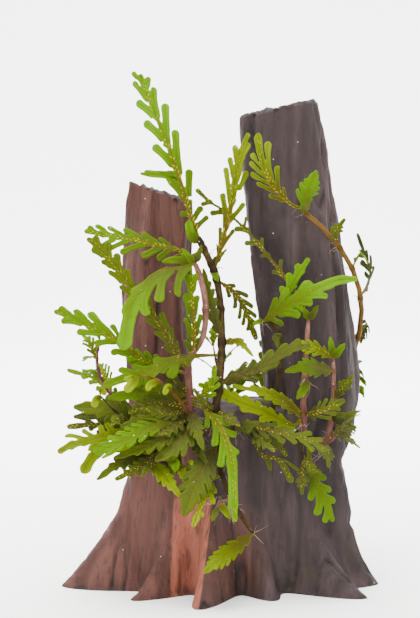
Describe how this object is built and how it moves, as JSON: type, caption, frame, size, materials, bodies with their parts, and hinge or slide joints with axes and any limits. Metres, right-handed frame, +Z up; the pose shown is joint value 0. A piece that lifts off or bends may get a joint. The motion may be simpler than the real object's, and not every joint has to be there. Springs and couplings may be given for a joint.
{
  "type": "hygrophila on driftwood",
  "caption": "Aquarium plant with long lobed green leaves on brown creeping stems, growing on a forked driftwood stump.",
  "frame": {"origin": "on the driftwood's flat cut underside, under the middle of the plant", "axes": "+Z up, +X to the right of a viewer in front, +Y away from that viewer"},
  "size_m": [0.1943, 0.1737, 0.3118],
  "materials": {
    "driftwood": "matte",
    "stem": "satin",
    "leaf_bright": "satin",
    "leaf_yellow": "satin",
    "leaf_olive": "satin"
  },
  "bodies": {
    "root": {"back_runner": "stem", "back_runner_leaf_1": "leaf_bright", "back_runner_leaf_2": "leaf_yellow", "back_runner_leaf_3": "leaf_olive", "back_runner_leaf_4": "leaf_bright", "back_runner_leaf_5": "leaf_bright", "back_runner_leaf_6": "leaf_olive", "back_runner_leaf_7": "leaf_bright", "cross_runner": "stem", "cross_runner_leaf_1": "leaf_yellow", "cross_runner_leaf_2": "leaf_yellow", "cross_runner_leaf_3": "leaf_olive", "cross_runner_leaf_4": "leaf_olive", "cross_runner_leaf_5": "leaf_olive", "cross_runner_leaf_6": "leaf_olive", "cross_runner_leaf_7": "leaf_bright", "driftwood_left_limb": "driftwood", "driftwood_right_limb": "driftwood", "driftwood_stump": "driftwood", "front_runner": "stem", "front_runner_leaf_1": "leaf_olive", "front_runner_leaf_2": "leaf_yellow", "front_runner_leaf_3": "leaf_yellow", "inner_right_stem": "stem", "inner_right_stem_leaf_1": "leaf_bright", "inner_right_stem_leaf_2": "leaf_bright", "left_stem": "stem", "left_stem_leaf_1": "leaf_bright", "left_stem_leaf_10": "leaf_olive", "left_stem_leaf_2": "leaf_olive", "left_stem_leaf_3": "leaf_bright", "left_stem_leaf_4": "leaf_bright", "left_stem_leaf_5": "leaf_bright", "left_stem_leaf_6": "leaf_bright", "left_stem_leaf_7": "leaf_bright", "left_stem_leaf_8": "leaf_yellow", "left_stem_leaf_9": "leaf_bright", "limb_runner": "stem", "limb_runner_leaf_1": "leaf_yellow", "limb_runner_leaf_2": "leaf_bright", "limb_runner_leaf_3": "leaf_olive", "limb_runner_leaf_4": "leaf_bright", "main_stem": "stem", "main_stem_leaf_1": "leaf_bright", "main_stem_leaf_2": "leaf_bright", "main_stem_leaf_3": "leaf_yellow", "main_stem_leaf_4": "leaf_olive", "main_stem_leaf_5": "leaf_olive", "main_stem_leaf_6": "leaf_yellow", "main_stem_leaf_7": "leaf_bright", "main_stem_leaf_8": "leaf_olive", "main_stem_leaf_9": "leaf_olive", "outer_right_stem": "stem", "outer_right_stem_leaf_1": "leaf_yellow", "outer_right_stem_leaf_2": "leaf_bright", "right_stem": "stem", "right_stem_leaf_1": "leaf_olive", "right_stem_leaf_2": "leaf_yellow", "right_stem_leaf_3": "leaf_yellow", "right_stem_leaf_4": "leaf_olive"}
  },
  "joints": []
}
